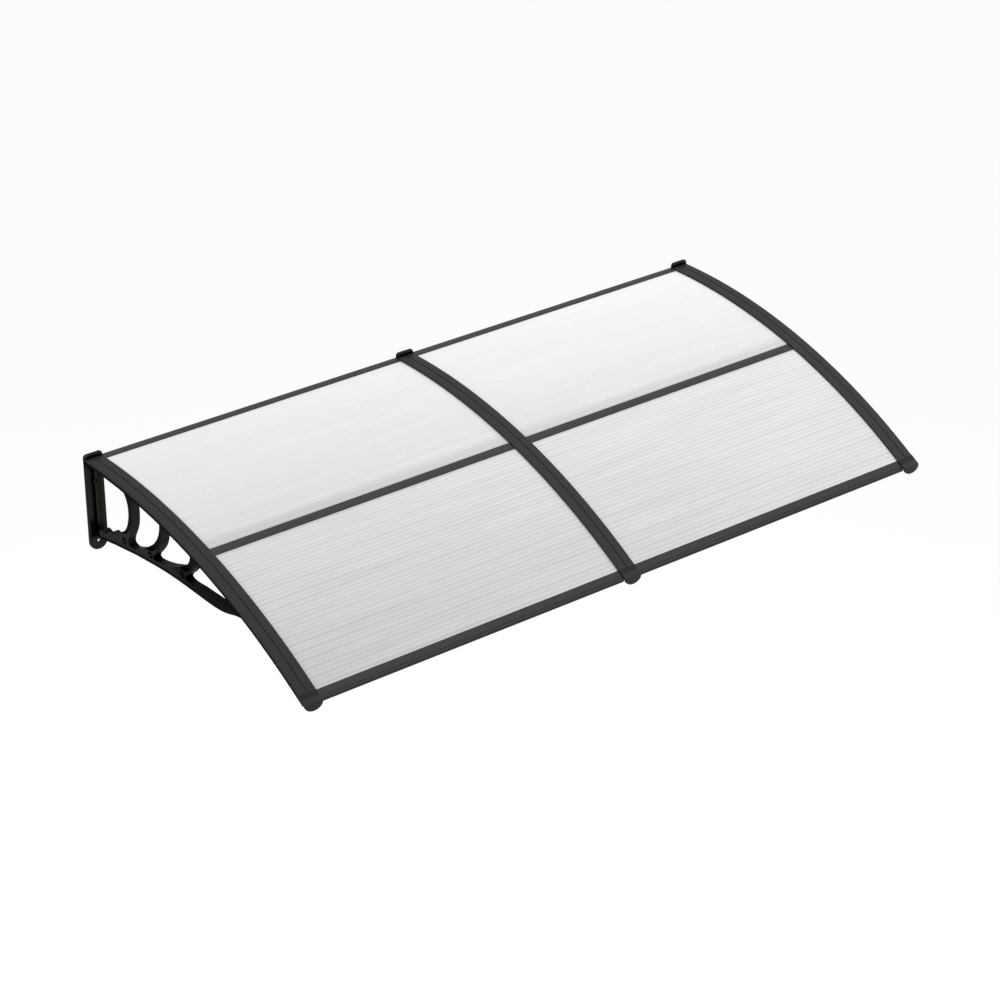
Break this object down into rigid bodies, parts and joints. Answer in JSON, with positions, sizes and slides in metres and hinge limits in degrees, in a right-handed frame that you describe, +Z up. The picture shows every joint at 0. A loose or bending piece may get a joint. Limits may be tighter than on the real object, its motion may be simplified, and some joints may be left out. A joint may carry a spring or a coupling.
{
  "type": "door canopy",
  "caption": "Curved door canopy: twin-wall sheets under cover strips, held by dark rails and moulded scroll brackets that screw to the wall.",
  "frame": {"origin": "middle of the centre bracket's wall plate, on its back face, in the plane of the wall", "axes": "+X along the wall to the right as seen from in front, +Y into the wall, +Z up"},
  "size_m": [1.9524, 0.9502, 0.2761],
  "materials": {
    "black_plastic": "moulded, fine satin grain",
    "cover_plastic": "moulded, satin",
    "anodised_aluminium": "dark anodised, drawn along its length",
    "twin_wall_polycarbonate": "clear to white, ribbed by its flutes",
    "black_rubber": "matte",
    "zinc_plated_steel": "bright zinc"
  },
  "bodies": {
    "root": {"bracket_left": "black_plastic", "cover_strip_left": "cover_plastic", "nose_cap_left": "cover_plastic", "strip_screw_left_1": "zinc_plated_steel", "strip_screw_left_2": "zinc_plated_steel", "strip_screw_left_3": "zinc_plated_steel", "strip_screw_left_4": "zinc_plated_steel", "bracket_centre": "black_plastic", "cover_strip_centre": "cover_plastic", "nose_cap_centre": "cover_plastic", "strip_screw_centre_1": "zinc_plated_steel", "strip_screw_centre_2": "zinc_plated_steel", "strip_screw_centre_3": "zinc_plated_steel", "strip_screw_centre_4": "zinc_plated_steel", "bracket_right": "black_plastic", "cover_strip_right": "cover_plastic", "nose_cap_right": "cover_plastic", "strip_screw_right_1": "zinc_plated_steel", "strip_screw_right_2": "zinc_plated_steel", "strip_screw_right_3": "zinc_plated_steel", "strip_screw_right_4": "zinc_plated_steel", "rear_sheet_left": "twin_wall_polycarbonate", "front_sheet_left": "twin_wall_polycarbonate", "rear_rail_left": "anodised_aluminium", "middle_rail_left": "anodised_aluminium", "front_rail_left": "anodised_aluminium", "wall_seal_left": "black_rubber", "rear_sheet_right": "twin_wall_polycarbonate", "front_sheet_right": "twin_wall_polycarbonate", "rear_rail_right": "anodised_aluminium", "middle_rail_right": "anodised_aluminium", "front_rail_right": "anodised_aluminium", "wall_seal_right": "black_rubber"}
  },
  "joints": []
}
